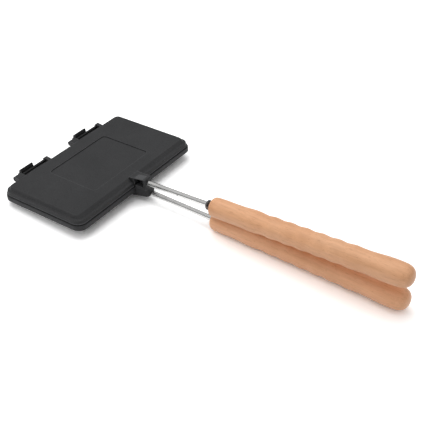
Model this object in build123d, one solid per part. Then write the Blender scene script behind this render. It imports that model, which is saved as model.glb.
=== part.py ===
from build123d import *
import math
import os

os.makedirs("parts", exist_ok=True)

# All lengths are in millimetres and all angles in degrees.
# The iron is drawn closed, with its parting plane at z = 0. X runs from the hinge to the grips, with x = 0 at
# the front rim of the upper casting. Y runs along the long side of the castings. The finished pieces are then
# tilted a little and lifted, so that the iron lies on the ground plane as a real one does.

# Castings in plan
plate_length = 240.0
plate_width = 142.5
plate_corner = 13.0
parting_gap = 0.4
casting_wall = 4.0

# Upper casting, heights above the parting plane and how far each level is set in from the rim
upper_depth = 10.9
flange_height = 1.5
groove_height = 0.9
groove_depth = 2.0
flange_bevel = 0.9
flange_side_lean = 0.6
ledge_height = 6.0
ledge_width = 3.0
ledge_rise = 1.0
top_wall_lean = 2.0
top_wall_lean_front = 5.4
top_edge_round = 1.2
ledge_edge_round = 0.8

# Bare panel pressed into the top
panel_length = 115.0
panel_width = 84.6
panel_depth = 1.0
panel_corner = 6.0
panel_edge_round = 0.6

# Lower casting, depths below the parting plane
lower_depth = 16.6
lower_rim_proud = 1.0
lower_rim_height = 7.4
lower_rim_round = 1.3
lower_step = 3.0
lower_wall_lean = 8.5
lower_edge_round = 2.0

# Waffle cavity and its grid of pegs
cavity_margin = 11.0
cavity_lean = 2.0
cavity_corner = 7.0
peg_pitch = 18.5
peg_foot = 11.5
peg_tip = 8.0
peg_height_upper = 3.2
peg_height_lower = 6.0
peg_root = 0.5

# Hinges: pin, lugs on the upper casting, hooks on the lower casting
hinge_spacing = 111.0
pin_diameter = 4.4
pin_outboard = 7.8
pin_above_parting = 3.0
pin_clearance = 0.08
lug_radius = 3.9
lug_near_start = -33.8
lug_near_end = -20.9
lug_far_start = 25.0
lug_far_end = 30.5
hook_start = -20.4
hook_end = 4.9
hook_side_gap = 0.5
hook_finger_start = -18.2
hook_finger_top = 7.0
hook_finger_reach = 3.9
hook_finger_thickness = 3.4
hook_finger_top_slope = 2.7
hook_reach = 8.0
hook_floor = 3.6
hook_round = 0.7
hook_corner = 2.6
hook_heel = 2.5
hook_root_drop = 1.5
hinge_shelf_gap = 0.5
hinge_shelf_height = 4.5
hinge_shelf_past_pin = 2.1
hinge_root = 3.0
pin_hole_fit = 0.02
pin_chamfer = 0.4
pin_end_inset = 0.4

# Rods
rod_diameter = 7.5
rod_side_offset = 3.14
upper_rod_height = 9.54
upper_rod_rise = 0.0319
lower_rod_height = 9.77
lower_rod_rise = 0.0246
socket_thread_diameter = 5.0
grip_thread_diameter = 6.0
thread_clearance = 0.02

# Socket brackets that hold the rods. Heights are measured from the parting plane and sides from the middle.
bracket_front = 19.6
bracket_front_wall = 4.2
bracket_back = -9.5
bracket_pocket_back = 0.0
bracket_side_wall = 2.6
bracket_floor = 3.2
bracket_roof = 1.0
bracket_open_side = 9.0
upper_bracket_height = 16.6
upper_bracket_height_back = 13.0
upper_bracket_side = 4.6
upper_bracket_side_back = 9.2
upper_bracket_round = 1.2
lower_bracket_height = 15.0
lower_bracket_height_back = 16.4
lower_bracket_side = 5.2
lower_bracket_side_back = 12.0
lower_bracket_round = 1.2
lower_bracket_corner = 5.0
lower_pocket_corner = 4.0
pocket_round = 0.3
nut_width = 8.0
nut_height = 4.7
washer_diameter = 8.0
washer_thickness = 1.6
thread_past_nut = 1.6
clearance_hole = 0.1
thread_chamfer = 0.6

# Stop pin through the upper rod
stop_pin_distance = 72.6
stop_pin_diameter = 2.6
stop_pin_length = 9.0
stop_pin_clearance = 0.03
stop_pin_round = 0.6

# Wooden handles. Lengths run along the rod, for each handle from its own front face.
upper_handle_start = 127.2
lower_handle_start = 123.6
handle_length = 279.4
handle_front_diameter = 27.3
handle_front_face = 19.0
handle_front_shoulder = 7.5
handle_waist_diameter = 27.5
handle_waist_start = 20.0
handle_waist_end = 47.6
handle_end_diameter = 30.2
handle_dome = 14.0
handle_dome_edge = 0.3
handle_tail = 25.0
ripple_count = 7
ripple_pitch = 21.6
ripple_first = 71.4
ripple_height = 1.05
first_crest_diameter = 28.4
last_crest_diameter = 29.6
last_hollow = 0.8

# Threaded insert in the mouth of each handle
insert_diameter = 12.0
insert_length = 22.0
insert_fit = 0.02
thread_run_out = 8.0
thread_hole_clearance = 0.4

# Latch: a wire ring round the upper rod with a hooked leg
latch_wire = 3.0
latch_ring_clearance = 0.06
latch_handle_gap = 4.7
latch_side_gap = 0.5
latch_under_gap = 0.9
latch_hook_advance = 12.0
latch_hook_span = 19.8
latch_tab_reach = 4.6
latch_corner_radius = 4.0
latch_tip_corner_radius = 2.8
latch_released_angle = 15.5

# Worked out from the sizes above
half_gap = parting_gap / 2
rod_radius = rod_diameter / 2
pin_radius = pin_diameter / 2
overshoot = 1.0
pin_x = -plate_width - pin_outboard
pin_z = pin_above_parting
plate_middle_x = -plate_width / 2
ledge_outer_inset = flange_bevel + flange_side_lean
ledge_inner_inset = ledge_outer_inset + ledge_width
top_inset = ledge_inner_inset + top_wall_lean
top_inset_front = ledge_inner_inset + top_wall_lean_front


# A rounded rectangle parallel to the parting plane. Each inset is measured inward from the rim of the plates.
def level(z, side, back, front, corner):
    length = plate_length - 2 * side
    width = plate_width - back - front
    middle = Vector((back - front) / 2 + plate_middle_x, 0, z)
    return Plane(middle) * RectangleRounded(width, length, corner)


# The same with one inset all round, and a corner that keeps its centre.
def even_level(z, inset):
    return level(z, inset, inset, inset, plate_corner - inset)


def edges_at(shape, z, tolerance=0.02):
    return shape.edges().filter_by_position(Axis.Z, z - tolerance, z + tolerance)


# The rod of each half: its height at the front rim, and how it rises from there.
def rod_line(side):
    if side > 0:
        return upper_rod_height, upper_rod_rise
    return lower_rod_height, lower_rod_rise


# The arm frame of each half: its X axis runs along the rod, towards the grip.
def arm_frame(side):
    height, rise = rod_line(side)
    angle = math.degrees(math.atan(rise))
    return Location((0, -side * rod_side_offset, side * height), (0, -side * angle, 0))


def handle_start(side):
    return upper_handle_start if side > 0 else lower_handle_start


# A piece drawn for the upper arm, turned over for the lower one.
def turned_over(shape):
    return Rotation(180, 0, 0) * shape


def on_arm(shape, side):
    drawn = shape if side > 0 else turned_over(shape)
    return arm_frame(side) * drawn


def rod_cylinder(radius, start, end):
    return Plane(Vector(start, 0, 0), x_dir=(0, 1, 0), z_dir=(1, 0, 0)) * extrude(Circle(radius), end - start)


# Cavity of one casting, as a tapered pocket from the parting plane.
def cavity(side, depth):
    mouth = level(0, cavity_margin, cavity_margin, cavity_margin, cavity_corner)
    floor_margin = cavity_margin + cavity_lean
    floor = level(side * depth, floor_margin, floor_margin, floor_margin, cavity_corner - cavity_lean)
    return loft([mouth, floor], ruled=True)


# The square pegs that print the waffle's pattern, standing on the floor of a cavity.
def pegs(side, floor_depth, height):
    inner_length = plate_length - 2 * (cavity_margin + cavity_lean)
    inner_width = plate_width - 2 * (cavity_margin + cavity_lean)
    across = int((inner_width - peg_foot) // peg_pitch) + 1
    along = int((inner_length - peg_foot) // peg_pitch) + 1
    foot = Plane(Vector(0, 0, side * (floor_depth + peg_root))) * Rectangle(peg_foot, peg_foot)
    tip = Plane(Vector(0, 0, side * (floor_depth - height))) * Rectangle(peg_tip, peg_tip)
    peg = loft([foot, tip], ruled=True)
    places = []
    for i in range(across):
        for j in range(along):
            x = plate_middle_x + (i - (across - 1) / 2) * peg_pitch
            y = (j - (along - 1) / 2) * peg_pitch
            places.append(Pos(x, y, 0) * peg)
    return places


# The measures of one socket bracket: its height and its closed side, at the front and at the back. The heights
# are measured from the rod's axis, as the bracket is drawn in the arm frame.
def bracket_sizes(side):
    if side > 0:
        heights = (upper_bracket_height, upper_bracket_height_back)
        sides = (upper_bracket_side, upper_bracket_side_back)
    else:
        heights = (lower_bracket_height, lower_bracket_height_back)
        sides = (lower_bracket_side, lower_bracket_side_back)
    root = rod_line(side)[0]
    return heights[0] - root, heights[1] - root, sides[0] + rod_side_offset, sides[1] + rod_side_offset


def edges_from(shape, corner):
    return [e for e in shape.edges() if min((e @ 0 - corner).length, (e @ 1 - corner).length) < 0.05]


# Socket bracket in the arm frame of the upper half. Its hollow is open to -Y and holds the nut.
def bracket_block(side):
    top, top_back, closed_y, closed_y_back = bracket_sizes(side)
    open_y = -bracket_open_side + rod_side_offset
    bottom = -rod_line(side)[0] - 2
    outline = Polyline(
        (bracket_back, bottom),
        (bracket_front, bottom),
        (bracket_front, top),
        (bracket_back, top_back),
        close=True,
    )
    body = side_profile_solid(outline, open_y - overshoot, closed_y_back + overshoot)
    plan = Polyline(
        (bracket_back, open_y),
        (bracket_front, open_y),
        (bracket_front, closed_y),
        (bracket_back, closed_y_back),
        close=True,
    )
    column = Pos(0, 0, bottom - overshoot) * extrude(make_face(plan), top + top_back - 2 * bottom)
    block = body & column
    if side > 0:
        return fillet(front_edges_of(block), upper_bracket_round)
    # The corner beside the closed side of the lower bracket is a large round one.
    block = fillet(edges_from(block, Vector(bracket_front, closed_y, top)), lower_bracket_corner)
    open_edge = front_edges_of(block).filter_by_position(Axis.Y, open_y - 0.05, open_y + 0.05)
    return fillet(open_edge, lower_bracket_round)


def front_edges_of(block):
    return block.edges().filter_by_position(Axis.X, bracket_front - 0.05, bracket_front + 0.05)


def bracket_pocket(side):
    top, top_back, closed_y, closed_y_back = bracket_sizes(side)
    floor_z = bracket_floor - rod_line(side)[0]
    roof_slope = (top - top_back) / (bracket_front - bracket_back)
    front_x = bracket_front - bracket_front_wall
    roof_front = top - bracket_roof - roof_slope * bracket_front_wall
    roof_back = roof_front - roof_slope * (front_x - bracket_pocket_back)
    outline = Polyline(
        (bracket_pocket_back, floor_z),
        (front_x, floor_z),
        (front_x, roof_front),
        (bracket_pocket_back, roof_back),
        close=True,
    )
    far_y = closed_y - bracket_side_wall
    near_y = -bracket_open_side - overshoot
    hollow = side_profile_solid(outline, near_y, far_y)
    hollow = fillet(hollow.edges().filter_by(Axis.Y), pocket_round)
    if side > 0:
        return hollow
    # The hollow follows the large round corner of the lower bracket.
    low_z = floor_z - overshoot
    corner = lower_pocket_corner
    section = Polyline((far_y, low_z), (near_y, low_z), (near_y, roof_back), (far_y - corner, roof_back))
    bend = CenterArc((far_y - corner, roof_back - corner), corner, 0, 90)
    closing = Line((far_y, roof_back - corner), (far_y, low_z))
    face = Plane.YZ.offset(bracket_pocket_back - overshoot) * make_face(Curve() + [section, bend, closing])
    return hollow & extrude(face, front_x - bracket_pocket_back + 2 * overshoot)


# The three solids of a bracket: the block, cut off at the parting plane, its hollow, and the hole for the rod.
def bracket(side):
    hole_start = bracket_front - bracket_front_wall - overshoot
    hole = rod_cylinder(socket_thread_diameter / 2 + clearance_hole, hole_start, bracket_front + overshoot)
    half_space = Pos(0, 0, side * (half_gap + plate_width)) * Box(2 * plate_width, plate_width, 2 * plate_width)
    block = on_arm(bracket_block(side), side) & half_space
    return block, on_arm(bracket_pocket(side), side), on_arm(hole, side)


def side_profile_solid(outline, y_start, y_end):
    face = Plane.XZ.offset(-y_start) * make_face(outline)
    return extrude(face, -(y_end - y_start))


# One hinge lug: a round boss about the pin with an arm back to the upper casting.
def lug(y_start, y_end):
    root_x = -plate_width + hinge_root
    boss = Plane(Vector(pin_x, y_start, pin_z), z_dir=(0, 1, 0)) * extrude(Circle(lug_radius), y_end - y_start)
    arm = Polyline(
        (pin_x, pin_z + lug_radius),
        (root_x, ledge_height - flange_side_lean),
        (root_x, half_gap),
        (pin_x, half_gap),
        close=True,
    )
    return boss + side_profile_solid(arm, y_start, y_end)


# One hinge hook: a saddle under the pin and an upright finger behind it, part of the lower casting.
def hook(y_middle):
    saddle = pin_radius + pin_clearance
    root_x = -plate_width + hinge_root
    finger_top_z = pin_z + hook_finger_top
    inner_x = pin_x - hook_finger_reach
    tip_x = inner_x - hook_finger_thickness
    outer_x = pin_x - hook_reach
    bottom_z = pin_z - saddle - hook_floor
    outline = Polyline(
        (root_x, -half_gap),
        (-plate_width - hook_side_gap, -half_gap),
        (pin_x + saddle, pin_z - saddle * 0.4),
        (pin_x - saddle, pin_z),
        (inner_x, finger_top_z),
        (tip_x, finger_top_z - hook_finger_top_slope),
        (outer_x, pin_z),
        (outer_x, bottom_z + hook_heel),
        (outer_x + hook_heel, bottom_z),
        (root_x, bottom_z - hook_root_drop),
        close=True,
    )
    start = y_middle + hook_start
    end = y_middle + hook_end
    solid = side_profile_solid(outline, start, end)
    tip_low = finger_top_z - hook_finger_top_slope - 0.1
    top_edges = solid.edges().filter_by(Axis.Y).filter_by_position(Axis.Z, tip_low, finger_top_z + 0.1)
    solid = fillet(top_edges, hook_round)
    # Above the pin's axis only the finger stands, narrower than the saddle and with rounded corners.
    corner = Align.MIN
    above = Pos(outer_x - 1, start - 1, pin_z) * Box(
        hook_reach, end - start + 2, 2 * hook_finger_top, align=(corner, corner, corner)
    )
    finger_start = y_middle + hook_finger_start
    finger_height = 2 * hook_finger_top
    finger_middle = (finger_start + end) / 2
    face_on = Plane.YZ * Pos(finger_middle, finger_top_z - finger_height / 2) * RectangleRounded(
        end - finger_start, finger_height, hook_corner
    )
    finger = solid & above & (Pos(outer_x - 1, 0, 0) * extrude(face_on, hook_reach + 1))
    solid = (solid - above) + finger
    seat = Plane(Vector(pin_x, start - overshoot, pin_z), z_dir=(0, 1, 0))
    return solid - seat * extrude(Circle(saddle), end - start + 2 * overshoot)


# A low shelf on the lower casting, under the pin between a hook and its far lug.
def hinge_shelf(y_middle):
    top_z = pin_z - lug_radius - hinge_shelf_gap
    outline = Polyline(
        (-plate_width + hinge_root, top_z),
        (pin_x - hinge_shelf_past_pin, top_z),
        (pin_x - hinge_shelf_past_pin, top_z - hinge_shelf_height),
        (-plate_width + hinge_root, top_z - hinge_shelf_height),
        close=True,
    )
    return side_profile_solid(outline, y_middle + hook_end - overshoot, y_middle + lug_far_end)


def upper_casting():
    ledge_foot = even_level(ledge_height, ledge_outer_inset)
    top_foot = even_level(ledge_height + ledge_rise, ledge_inner_inset)
    # The flange stops short of the parting plane and leaves a groove all round the closed iron.
    foot = extrude(even_level(half_gap, groove_depth), flange_height)
    skirt = foot + loft([
        even_level(half_gap + groove_height, 0),
        even_level(flange_height, 0),
        even_level(flange_height + flange_bevel, flange_bevel),
        ledge_foot,
    ], ruled=True)
    ledge = loft([ledge_foot, top_foot], ruled=True)
    top_face = level(upper_depth, top_inset, top_inset, top_inset_front, plate_corner - top_inset)
    top = loft([top_foot, top_face], ruled=True)
    body = skirt + ledge + top
    body = fillet(edges_at(body, upper_depth), top_edge_round)
    body = fillet(edges_at(body, ledge_height), ledge_edge_round)
    for y_middle in (-hinge_spacing / 2, hinge_spacing / 2):
        body += lug(y_middle + lug_near_start, y_middle + lug_near_end)
        body += lug(y_middle + lug_far_start, y_middle + lug_far_end)
    block, pocket, rod_hole = bracket(1)
    body += block
    floor_depth = upper_depth - casting_wall
    body -= cavity(1, floor_depth)
    body -= pocket
    body -= rod_hole
    body += pegs(1, floor_depth, peg_height_upper)
    for y_middle in (-hinge_spacing / 2, hinge_spacing / 2):
        hole = Plane(Vector(pin_x, y_middle + lug_near_start - overshoot, pin_z), z_dir=(0, 1, 0))
        body -= hole * extrude(Circle(pin_radius + pin_hole_fit), lug_far_end - lug_near_start + 2 * overshoot)
    panel = Plane(Vector(plate_middle_x, 0, upper_depth - panel_depth)) * RectangleRounded(
        panel_width, panel_length, panel_corner
    )
    body -= extrude(panel, panel_depth + overshoot)
    return body


def lower_casting():
    front = -lower_rim_proud
    rim = loft([
        level(-half_gap, -lower_rim_proud, 0, front, plate_corner),
        level(-lower_rim_height, -lower_rim_proud, 0, front, plate_corner),
    ], ruled=True)
    rim = fillet(edges_at(rim, -half_gap), lower_rim_round)
    step = lower_step
    bottom = lower_step + lower_wall_lean
    base = loft([
        level(-lower_rim_height, step, step, step, plate_corner - step),
        level(-lower_depth, bottom, bottom, bottom, plate_corner - step),
    ], ruled=True)
    base = fillet(edges_at(base, -lower_depth), lower_edge_round)
    body = rim + base
    for y_middle in (-hinge_spacing / 2, hinge_spacing / 2):
        body += hook(y_middle) + hinge_shelf(y_middle)
    block, pocket, rod_hole = bracket(-1)
    body += block
    floor_depth = lower_depth - casting_wall
    body -= cavity(-1, floor_depth)
    body -= pocket
    body -= rod_hole
    body += pegs(-1, floor_depth, peg_height_lower)
    return body


def hinge_pin(y_middle):
    start = y_middle + lug_near_start + pin_end_inset
    length = lug_far_end - lug_near_start - 2 * pin_end_inset
    pin = Plane(Vector(pin_x, start, pin_z), z_dir=(0, 1, 0)) * extrude(Circle(pin_radius), length)
    return chamfer(pin.edges().filter_by(GeomType.CIRCLE), pin_chamfer)


# Where the pieces on a rod lie, along the arm frame
wall_inner = bracket_front - bracket_front_wall
nut_start = wall_inner - washer_thickness - nut_height
rod_tail = nut_start - thread_past_nut


def rod(side):
    shoulder = handle_start(side)
    thread_tip = shoulder + insert_length + thread_run_out / 2
    body = rod_cylinder(rod_radius, bracket_front, shoulder)
    body += rod_cylinder(socket_thread_diameter / 2, rod_tail, bracket_front)
    body += rod_cylinder(grip_thread_diameter / 2, shoulder, thread_tip)
    ends = body.edges().filter_by(GeomType.CIRCLE)
    tips = ends.filter_by_position(Axis.X, rod_tail - 0.1, rod_tail + 0.1)
    tips += ends.filter_by_position(Axis.X, thread_tip - 0.1, thread_tip + 0.1)
    body = chamfer(tips, thread_chamfer)
    if side > 0:
        body -= stop_pin(stop_pin_clearance)
    return on_arm(body, side)


def stop_pin(clearance=0.0):
    radius = stop_pin_diameter / 2 + clearance
    length = stop_pin_length + 2 * clearance
    base = Plane(Vector(stop_pin_distance, -length / 2, 0), z_dir=(0, 1, 0))
    pin = base * extrude(Circle(radius), length)
    if clearance == 0:
        pin = fillet(pin.edges().filter_by(GeomType.CIRCLE), stop_pin_round)
    return pin


def nut(side):
    hexagon = RegularPolygon(nut_width / 2, 6, major_radius=False)
    blank = Plane(Vector(nut_start, 0, 0), x_dir=(0, 1, 0), z_dir=(1, 0, 0)) * extrude(hexagon, nut_height)
    hole = rod_cylinder(socket_thread_diameter / 2 + thread_clearance, nut_start - overshoot, wall_inner)
    return on_arm(blank - hole, side)


def lock_washer(side):
    start = wall_inner - washer_thickness
    ring = rod_cylinder(washer_diameter / 2, start, wall_inner)
    ring -= rod_cylinder(socket_thread_diameter / 2 + clearance_hole, start - overshoot, wall_inner + overshoot)
    return on_arm(ring, side)


# Radius of a handle at the crests and hollows of its ripples, and where they are along its rod.
def handle_outline(side):
    start = handle_start(side)
    end = start + handle_length
    swell = handle_end_diameter / 2
    points = [
        (start + handle_front_shoulder, handle_front_diameter / 2),
        (start + handle_waist_start, handle_waist_diameter / 2),
        (start + handle_waist_end, handle_waist_diameter / 2),
    ]
    for i in range(ripple_count):
        crest_x = start + ripple_first + i * ripple_pitch
        growth = (last_crest_diameter - first_crest_diameter) * i / (ripple_count - 1)
        crest = (first_crest_diameter + growth) / 2
        if i > 0:
            points.append((crest_x - ripple_pitch / 2, crest - ripple_height))
        points.append((crest_x, crest))
    last = start + ripple_first + (ripple_count - 0.5) * ripple_pitch
    points.append((last, swell - last_hollow))
    points.append((end - handle_dome - handle_tail, swell))
    points.append((end - handle_dome, swell - handle_dome_edge))
    return points


def handle(side):
    start = handle_start(side)
    end = start + handle_length
    insert_end = start + insert_length
    points = handle_outline(side)
    barrel = Spline(*points)
    shoulder_start = (start, handle_front_face / 2)
    shoulder = Spline(shoulder_start, points[0], tangents=[(0.25, 1), barrel % 0])
    dome = Spline(points[-1], (end, 0), tangents=[barrel % 1, (0, -1)])
    axis_line = Line((end, 0), (start, 0))
    front_line = Line((start, 0), shoulder_start)
    profile = make_face(Curve() + [front_line, shoulder, barrel, dome, axis_line])
    wood = revolve(Plane.XZ * profile, Axis.X)
    wood -= rod_cylinder(insert_diameter / 2 + insert_fit, start - overshoot, insert_end)
    drill_radius = grip_thread_diameter / 2 + thread_hole_clearance
    wood -= rod_cylinder(drill_radius, insert_end - overshoot, insert_end + thread_run_out)
    return on_arm(wood, side)


def handle_insert(side):
    start = handle_start(side)
    end = start + insert_length
    sleeve = rod_cylinder(insert_diameter / 2, start, end)
    thread_radius = grip_thread_diameter / 2 + thread_clearance
    sleeve -= rod_cylinder(thread_radius, start - overshoot, end + overshoot)
    return on_arm(sleeve, side)


# The latch is drawn released, in the arm frame of the upper half, turning about the rod's axis.
def latch():
    wire_radius = latch_wire / 2
    ring_radius = rod_radius + latch_ring_clearance + wire_radius
    ring_x = upper_handle_start - latch_handle_gap - wire_radius
    hook_x = ring_x - latch_hook_advance
    drop = upper_rod_height + lower_rod_height + (upper_rod_rise + lower_rod_rise) * hook_x
    rod_distance = math.hypot(2 * rod_side_offset, drop)
    rod_bearing = math.degrees(math.atan2(2 * rod_side_offset, drop))
    leg_offset = rod_radius + latch_side_gap + wire_radius
    leg_bearing = rod_bearing + math.degrees(math.asin(leg_offset / rod_distance)) + latch_released_angle
    tab_bearing = leg_bearing - latch_hook_span
    hook_radius = (rod_distance + rod_radius + latch_under_gap + wire_radius) / math.cos(
        math.radians(latch_hook_span / 2)
    )

    def at(x, radius, bearing):
        angle = math.radians(bearing)
        return Vector(x, radius * math.sin(angle), -radius * math.cos(angle))

    leg_top = at(ring_x, ring_radius, leg_bearing)
    corner = at(hook_x, hook_radius, leg_bearing)
    tab_root = at(hook_x, hook_radius, tab_bearing)
    tab_end = tab_root + Vector(0, 0, -latch_tab_reach)
    bends = [latch_corner_radius, latch_tip_corner_radius]
    path = FilletPolyline(leg_top, corner, tab_root, tab_end, radius=bends)
    section = Plane(path @ 0, z_dir=path % 0) * Circle(wire_radius)
    leg = sweep(section, path=path)
    tip = path @ 1
    leg += Pos(tip.X, tip.Y, tip.Z) * Sphere(wire_radius)
    ring = Pos(ring_x, 0, 0) * Rotation(0, 90, 0) * Torus(ring_radius, wire_radius)
    return arm_frame(1) * (ring + leg)


# How far the closed iron is tilted so that it lies on the ground: it touches along the back edge of the lower
# casting's underside and along the lower handle.
def resting_tilt():
    heel_x = -plate_width + lower_step + lower_wall_lean
    heel_z = -lower_depth
    steepest = 0.0
    for distance, radius in handle_outline(-1):
        low_x = distance
        low_z = -lower_rod_height - lower_rod_rise * distance - radius
        steepest = max(steepest, (heel_z - low_z) / (low_x - heel_x))
    return math.degrees(math.atan(steepest))


pieces = {
    "upper_plate": upper_casting(),
    "lower_plate": lower_casting(),
    "hinge_pin_left": hinge_pin(-hinge_spacing / 2),
    "hinge_pin_right": hinge_pin(hinge_spacing / 2),
    "upper_rod": rod(1),
    "lower_rod": rod(-1),
    "rod_stop_pin": on_arm(stop_pin(), 1),
    "upper_rod_nut": nut(1),
    "lower_rod_nut": nut(-1),
    "upper_lock_washer": lock_washer(1),
    "lower_lock_washer": lock_washer(-1),
    "upper_handle": handle(1),
    "lower_handle": handle(-1),
    "upper_handle_insert": handle_insert(1),
    "lower_handle_insert": handle_insert(-1),
    "latch_hook": latch(),
}

# Tilt the iron onto the ground plane, and put the origin under the middle of its outline.
tilt = Rotation(0, -resting_tilt(), 0)
tilted = {name: tilt * shape for name, shape in pieces.items()}
boxes = [shape.bounding_box() for shape in tilted.values()]
low = Vector(min(b.min.X for b in boxes), min(b.min.Y for b in boxes), min(b.min.Z for b in boxes))
high = Vector(max(b.max.X for b in boxes), max(b.max.Y for b in boxes), max(b.max.Z for b in boxes))
to_origin = Pos(-(low.X + high.X) / 2, -(low.Y + high.Y) / 2, -low.Z)
placement = to_origin * tilt

for name, shape in tilted.items():
    export_step(to_origin * shape, f"parts/{name}.step")

# Places that the joints and the resting face need, in the finished frame
hinge_point = placement * Pos(pin_x, 0, pin_z)
rod_point = placement * arm_frame(1)
base_point = placement * Pos(plate_middle_x, 0, -lower_depth)
print("tilt", round(resting_tilt(), 4), "size", (high - low))
print("hinge axis point", hinge_point.position)
rod_angle = math.degrees(math.atan(upper_rod_rise)) + resting_tilt()
print("upper rod axis point", rod_point.position, "rod angle", round(rod_angle, 4))
print("underside point", base_point.position)
print("iron frame origin", placement.position)
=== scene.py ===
import math

import bmesh
import bpy
from mathutils import Matrix, Vector

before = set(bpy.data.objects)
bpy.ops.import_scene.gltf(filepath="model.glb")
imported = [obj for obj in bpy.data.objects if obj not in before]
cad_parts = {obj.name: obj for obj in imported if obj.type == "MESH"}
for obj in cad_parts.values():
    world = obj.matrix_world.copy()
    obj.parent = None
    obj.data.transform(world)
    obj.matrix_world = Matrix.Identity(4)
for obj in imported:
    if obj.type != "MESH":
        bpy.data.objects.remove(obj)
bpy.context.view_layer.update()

# The closed iron was drawn level and then tilted onto the ground. This is the drawing's place in the frame.
TILT = math.radians(2.1948)
DRAWING_ORIGIN = Vector((-0.123498, 0.0, 0.021705))
DRAWING = Matrix.Translation(DRAWING_ORIGIN) @ Matrix.Rotation(-TILT, 4, "Y")

# Camera, fitted to the photo's straight edges: its place and axes on the drawing, and its focal length and the
# shift of its centre in pixels of the photo.
CAMERA_PLACE = Vector((0.637396, -0.690654, 0.641600))
CAMERA_RIGHT = Vector((0.816497, 0.576443, -0.032345))
CAMERA_UP = Vector((-0.323659, 0.503398, 0.801146))
CAMERA_BACK = Vector((0.478098, -0.643665, 0.597594))
CAMERA_REACH = 50
PHOTO_WIDTH = 424
FOCAL_LENGTH = 819.5183
CENTRE_SHIFT = 0.5
SENSOR_WIDTH = 36.0

# Studio: bright overhead and dark towards the horizon, as in a tent of cloth with a dark surround. Each band is the
# sine of the angle above the horizon and the brightness there.
STUDIO_STRENGTH = 0.88
STUDIO_BANDS = [(0.0, 0.06), (0.22, 0.12), (0.5, 0.75), (1.0, 1.0)]

# Lamps, in metres and watts. Reflections don't show them.
LAMPS = {
    "overhead": {"place": (-0.6, 0.25, 1.7), "aim": (0, 0, 0), "size": (1.8, 1.8), "power": 19},
    "near_left": {"place": (-0.9, -1.2, 0.95), "aim": (-0.1, 0, 0), "size": (1.0, 0.8), "power": 4.5},
}

# Floor: pale, with a soft shadow. The camera and reflections see it as SHADED with a glow, and it lights the iron as
# BOUNCE. The glow grows from NEAR to FAR, in metres from the middle, so it stays white where the lamps reach less.
FLOOR_HALF_WIDTH = 6.0
FLOOR_BOUNCE = (0.85, 0.85, 0.85, 1)
FLOOR_SHADED = (1.3, 1.3, 1.3, 1)
FLOOR_GLOW = 0.02
FLOOR_GLOW_FAR = 1.0
FLOOR_NEAR = 0.5
FLOOR_FAR = 1.2

WHITE = (1, 1, 1, 1)
OCCLUSION_SAMPLES = 8

# The colour sockets of a mix node, which has others of the same names.
MIX_FIRST = 6
MIX_SECOND = 7
MIX_RESULT = 2


def grey(level):
    return (level, level, level)


class Nodes:
    def __init__(self, tree):
        self.tree = tree

    def add(self, kind, inputs=None, **settings):
        node = self.tree.nodes.new(kind)
        for name, value in settings.items():
            setattr(node, name, value)
        for name, value in (inputs or {}).items():
            node.inputs[name].default_value = value
        return node

    def link(self, source, target):
        self.tree.links.new(source, target)

    # A colour for each position of the source, blended between the stops.
    def ramp(self, source, stops):
        node = self.add("ShaderNodeValToRGB")
        band = node.color_ramp
        while len(band.elements) < len(stops):
            band.elements.new(0.5)
        for element, (position, colour) in zip(band.elements, stops):
            element.position = position
            element.color = (*colour, 1.0)
        self.link(source, node.inputs["Fac"])
        return node.outputs["Color"]

    # 1 for rays of these kinds, else 0.
    def rays(self, first, *others):
        path = self.add("ShaderNodeLightPath")
        total = path.outputs[first]
        for other in others:
            most = self.add("ShaderNodeMath", operation="MAXIMUM")
            self.link(total, most.inputs[0])
            self.link(path.outputs[other], most.inputs[1])
            total = most.outputs[0]
        return total


class Shader(Nodes):
    def __init__(self, name):
        self.material = bpy.data.materials.new(name)
        self.material.use_nodes = True
        super().__init__(self.material.node_tree)
        self.surface = self.tree.nodes["Principled BSDF"]
        self.place = self.add("ShaderNodeTexCoord").outputs["Object"]

    def stretched(self, scale, shift=(0, 0, 0)):
        node = self.add("ShaderNodeMapping", {"Scale": scale, "Location": shift})
        self.link(self.place, node.inputs["Vector"])
        return node.outputs["Vector"]

    def noise(self, scale, detail=3.0, rough=0.55, vector=None):
        node = self.add("ShaderNodeTexNoise", {"Scale": scale, "Detail": detail, "Roughness": rough})
        self.link(vector or self.place, node.inputs["Vector"])
        return node.outputs["Fac"]

    # A colour that goes from low to high as the source goes from start to end.
    def tone(self, source, low, high, start=0.3, end=0.7):
        return self.ramp(source, [(start, low), (end, high)])

    # A number that goes from low to high as the source goes over the middle half of its range.
    def spread(self, source, low, high):
        node = self.add(
            "ShaderNodeMapRange", {"From Min": 0.25, "From Max": 0.75, "To Min": low, "To Max": high}
        )
        self.link(source, node.inputs["Value"])
        return node.outputs["Result"]

    def multiplied(self, first, second, factor=1.0):
        node = self.add("ShaderNodeMix", {"Factor": factor}, data_type="RGBA", blend_type="MULTIPLY")
        self.link(first, node.inputs[MIX_FIRST])
        self.link(second, node.inputs[MIX_SECOND])
        return node.outputs[MIX_RESULT]

    def bump(self, source, depth, strength, normal=None):
        node = self.add("ShaderNodeBump", {"Strength": strength, "Distance": depth})
        self.link(source, node.inputs["Height"])
        if normal is not None:
            self.link(normal, node.inputs["Normal"])
        return node.outputs["Normal"]

    # How open a place is: 1 on open faces, less in a crease, or with inside set, less on an outer edge.
    def openness(self, distance, inside=False):
        node = self.add(
            "ShaderNodeAmbientOcclusion",
            {"Distance": distance},
            samples=OCCLUSION_SAMPLES,
            inside=inside,
            only_local=inside,
        )
        return node.outputs["AO"]

    def finish(self, colour, roughness, normal):
        self.link(colour, self.surface.inputs["Base Color"])
        self.link(roughness, self.surface.inputs["Roughness"])
        self.link(normal, self.surface.inputs["Normal"])
        return self.material


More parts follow.
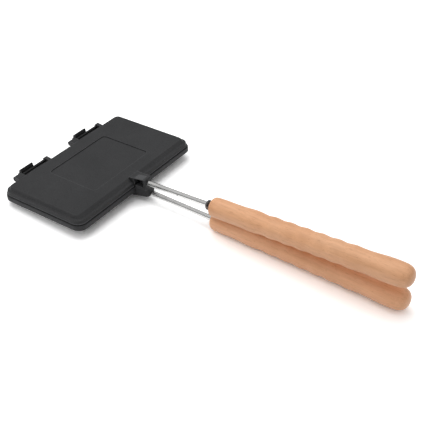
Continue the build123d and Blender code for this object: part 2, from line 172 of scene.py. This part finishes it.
# Dark seasoned cast iron: a fine sand-cast grain, with slow changes of tone, painted shade in the creases, and paler
# edges that are partly wear where it is handled and partly a painted highlight.
def cast_iron():
    s = Shader("seasoned_cast_iron")
    s.surface.inputs["Specular IOR Level"].default_value = 0.16
    slow = s.noise(scale=22.0)
    fine = s.noise(scale=900.0, detail=4.0, rough=0.6)
    grain = s.noise(scale=1800.0, detail=2.0, rough=0.6)
    tone = s.tone(slow, (0.029, 0.0294, 0.0306), (0.036, 0.0363, 0.0376))
    specks = s.tone(fine, grey(0.75), grey(1.2), start=0.35, end=0.65)
    # Painted shade: the colour is darkened to near black in creases, grooves and recesses, where shade falls.
    painted_crease_shade = s.tone(s.openness(distance=0.005), grey(0.06), grey(1.0), start=0.35, end=0.8)
    # Paler outer edges: partly wear, partly a painted highlight on the rounded edges.
    edge_wear_and_highlight = s.tone(s.openness(distance=0.0014, inside=True), grey(2.1), grey(1.0), start=0.55, end=0.9)
    colour = s.multiplied(s.multiplied(s.multiplied(tone, specks), painted_crease_shade), edge_wear_and_highlight)
    coarse_bumps = s.bump(fine, depth=0.00012, strength=0.5)
    fine_bumps = s.bump(grain, depth=0.00006, strength=0.5, normal=coarse_bumps)
    return s.finish(colour, s.spread(slow, low=0.46, high=0.56), fine_bumps)


# Bright steel drawn along its length.
def drawn_steel():
    s = Shader("bright_rod_steel")
    s.surface.inputs["Metallic"].default_value = 1.0
    drawn = s.noise(scale=420.0, vector=s.stretched((0.02, 1.0, 1.0)))
    haze = s.noise(scale=60.0)
    colour = s.tone(haze, (0.6, 0.597, 0.59), (0.68, 0.677, 0.67))
    roughness = s.spread(drawn, low=0.16, high=0.3)
    return s.finish(colour, roughness, s.bump(drawn, depth=0.00003, strength=0.3))


# Steel with a fine haze that changes its tone, its shine and its surface together. Rough is the least and the most.
def hazed_steel(name, scale, low, high, rough, detail=3.0, depth=0.00003, strength=0.3):
    s = Shader(name)
    s.surface.inputs["Metallic"].default_value = 1.0
    haze = s.noise(scale, detail)
    return s.finish(s.tone(haze, low, high), s.spread(haze, *rough), s.bump(haze, depth, strength))


# Beech, turned and lacquered: streaks along the grip, short flecks, and slow bands and patches of tone.
def beech(name, shift, light, dark):
    s = Shader(name)
    bands = s.noise(scale=60.0, vector=s.stretched((0.12, 1.0, 1.0), shift))
    streaks = s.noise(scale=420.0, detail=4.0, rough=0.6, vector=s.stretched((0.035, 1.0, 1.0), shift))
    pores = s.noise(scale=1500.0, detail=2.0, rough=0.5, vector=s.stretched((0.06, 1.0, 1.0), shift))
    patches = s.noise(scale=26.0, detail=2.0, vector=s.stretched((0.7, 1.0, 1.0), shift))
    band_tone = s.tone(bands, dark, light)
    patch_tone = s.tone(patches, (0.97, 0.92, 0.87), grey(1.02), start=0.36, end=0.64)
    streak_tone = s.tone(streaks, (0.91, 0.885, 0.86), grey(1.03), end=0.6)
    fleck_tone = s.tone(pores, (0.7, 0.6, 0.52), grey(1.0), start=0.28, end=0.4)
    streaked = s.multiplied(s.multiplied(band_tone, patch_tone), streak_tone)
    colour = s.multiplied(streaked, fleck_tone, factor=0.8)
    coarse_bumps = s.bump(streaks, depth=0.00012, strength=0.35)
    fine_bumps = s.bump(pores, depth=0.00008, strength=0.4, normal=coarse_bumps)
    return s.finish(colour, s.spread(streaks, low=0.36, high=0.46), fine_bumps)


IRON = cast_iron()
ROD = drawn_steel()
WIRE = hazed_steel("latch_wire_steel", 300.0, (0.1, 0.1, 0.104), (0.18, 0.18, 0.185), rough=(0.28, 0.42))
DARK = hazed_steel(
    "darkened_pin_steel",
    350.0,
    (0.03, 0.03, 0.031),
    (0.06, 0.06, 0.062),
    rough=(0.38, 0.5),
    depth=0.00004,
    strength=0.4,
)
BLACKENED = hazed_steel(
    "blackened_fastener_steel", 500.0, (0.018, 0.018, 0.0185), (0.03, 0.03, 0.031), rough=(0.35, 0.5)
)
TURNED = hazed_steel(
    "turned_insert_steel", 900.0, (0.38, 0.37, 0.36), (0.5, 0.49, 0.48), rough=(0.3, 0.42), detail=2.0
)
BEECH_UPPER = beech(
    "beech_upper_grip", shift=(0.0, 0.0, 0.0), light=(0.74, 0.415, 0.235), dark=(0.64, 0.345, 0.188)
)
BEECH_LOWER = beech(
    "beech_lower_grip", shift=(0.37, 0.11, 0.05), light=(0.82, 0.45, 0.258), dark=(0.7, 0.37, 0.2)
)

LOOKS = {
    "upper_plate": IRON,
    "lower_plate": IRON,
    "hinge_pin_left": DARK,
    "hinge_pin_right": DARK,
    "upper_rod": ROD,
    "lower_rod": ROD,
    "rod_stop_pin": ROD,
    "upper_rod_nut": BLACKENED,
    "lower_rod_nut": BLACKENED,
    "upper_lock_washer": BLACKENED,
    "lower_lock_washer": BLACKENED,
    "upper_handle": BEECH_UPPER,
    "lower_handle": BEECH_LOWER,
    "upper_handle_insert": TURNED,
    "lower_handle_insert": TURNED,
    "latch_hook": WIRE,
}
for node, material in LOOKS.items():
    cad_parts[node].data.materials.clear()
    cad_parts[node].data.materials.append(material)


def floor_material():
    material = bpy.data.materials.new("pale_floor")
    material.use_nodes = True
    material.node_tree.nodes.clear()
    nodes = Nodes(material.node_tree)
    output = nodes.add("ShaderNodeOutputMaterial")
    place = nodes.add("ShaderNodeTexCoord")
    distance = nodes.add("ShaderNodeVectorMath", operation="LENGTH")
    strength = nodes.add(
        "ShaderNodeMapRange",
        {"From Min": FLOOR_NEAR, "From Max": FLOOR_FAR, "To Min": FLOOR_GLOW, "To Max": FLOOR_GLOW_FAR},
        interpolation_type="SMOOTHSTEP",
    )
    glow = nodes.add("ShaderNodeEmission", {"Color": WHITE})
    shaded = nodes.add("ShaderNodeBsdfDiffuse", {"Color": FLOOR_SHADED})
    bounce = nodes.add("ShaderNodeBsdfDiffuse", {"Color": FLOOR_BOUNCE})
    seen = nodes.add("ShaderNodeAddShader")
    mix = nodes.add("ShaderNodeMixShader")
    nodes.link(place.outputs["Object"], distance.inputs[0])
    nodes.link(distance.outputs["Value"], strength.inputs["Value"])
    nodes.link(strength.outputs["Result"], glow.inputs["Strength"])
    nodes.link(shaded.outputs[0], seen.inputs[0])
    nodes.link(glow.outputs[0], seen.inputs[1])
    nodes.link(nodes.rays("Is Camera Ray", "Is Glossy Ray", "Is Transmission Ray"), mix.inputs["Fac"])
    nodes.link(bounce.outputs[0], mix.inputs[1])
    nodes.link(seen.outputs[0], mix.inputs[2])
    nodes.link(mix.outputs[0], output.inputs["Surface"])
    return material


def make_floor():
    mesh = bpy.data.meshes.new("floor")
    build = bmesh.new()
    bmesh.ops.create_grid(build, x_segments=1, y_segments=1, size=FLOOR_HALF_WIDTH)
    build.to_mesh(mesh)
    build.free()
    mesh.materials.append(floor_material())
    floor = bpy.data.objects.new("floor", mesh)
    bpy.context.scene.collection.objects.link(floor)


# The camera sees the world as plain white. All other rays see the studio.
def make_world():
    world = bpy.data.worlds.new("studio")
    bpy.context.scene.world = world
    world.use_nodes = True
    world.node_tree.nodes.clear()
    nodes = Nodes(world.node_tree)
    output = nodes.add("ShaderNodeOutputWorld")
    place = nodes.add("ShaderNodeTexCoord")
    direction = nodes.add("ShaderNodeSeparateXYZ")
    studio = nodes.add("ShaderNodeBackground", {"Strength": STUDIO_STRENGTH})
    white = nodes.add("ShaderNodeBackground", {"Color": WHITE, "Strength": 1.0})
    mix = nodes.add("ShaderNodeMixShader")
    nodes.link(place.outputs["Generated"], direction.inputs["Vector"])
    stops = [(height, grey(level)) for height, level in STUDIO_BANDS]
    nodes.link(nodes.ramp(direction.outputs["Z"], stops), studio.inputs["Color"])
    nodes.link(nodes.rays("Is Camera Ray"), mix.inputs["Fac"])
    nodes.link(studio.outputs["Background"], mix.inputs[1])
    nodes.link(white.outputs["Background"], mix.inputs[2])
    nodes.link(mix.outputs["Shader"], output.inputs["Surface"])


def make_lamp(name, place, aim, size, power):
    data = bpy.data.lights.new(name, "AREA")
    data.shape = "RECTANGLE"
    data.size, data.size_y = size
    data.energy = power
    lamp = bpy.data.objects.new(name, data)
    lamp.location = place
    lamp.rotation_euler = (Vector(aim) - Vector(place)).to_track_quat("-Z", "Y").to_euler()
    lamp.visible_glossy = False
    bpy.context.scene.collection.objects.link(lamp)


def make_camera():
    data = bpy.data.cameras.new("camera")
    data.sensor_width = SENSOR_WIDTH
    data.lens = FOCAL_LENGTH / PHOTO_WIDTH * SENSOR_WIDTH
    data.shift_x = -CENTRE_SHIFT / PHOTO_WIDTH
    data.shift_y = CENTRE_SHIFT / PHOTO_WIDTH
    data.clip_end = CAMERA_REACH
    turn = Matrix((CAMERA_RIGHT, CAMERA_UP, CAMERA_BACK)).transposed().to_4x4()
    camera = bpy.data.objects.new("camera", data)
    camera.matrix_world = DRAWING @ Matrix.Translation(CAMERA_PLACE) @ turn
    bpy.context.scene.collection.objects.link(camera)
    bpy.context.scene.camera = camera


make_floor()
make_world()
for name, lamp in LAMPS.items():
    make_lamp(name, **lamp)
make_camera()
bpy.context.scene.view_settings.view_transform = "Standard"
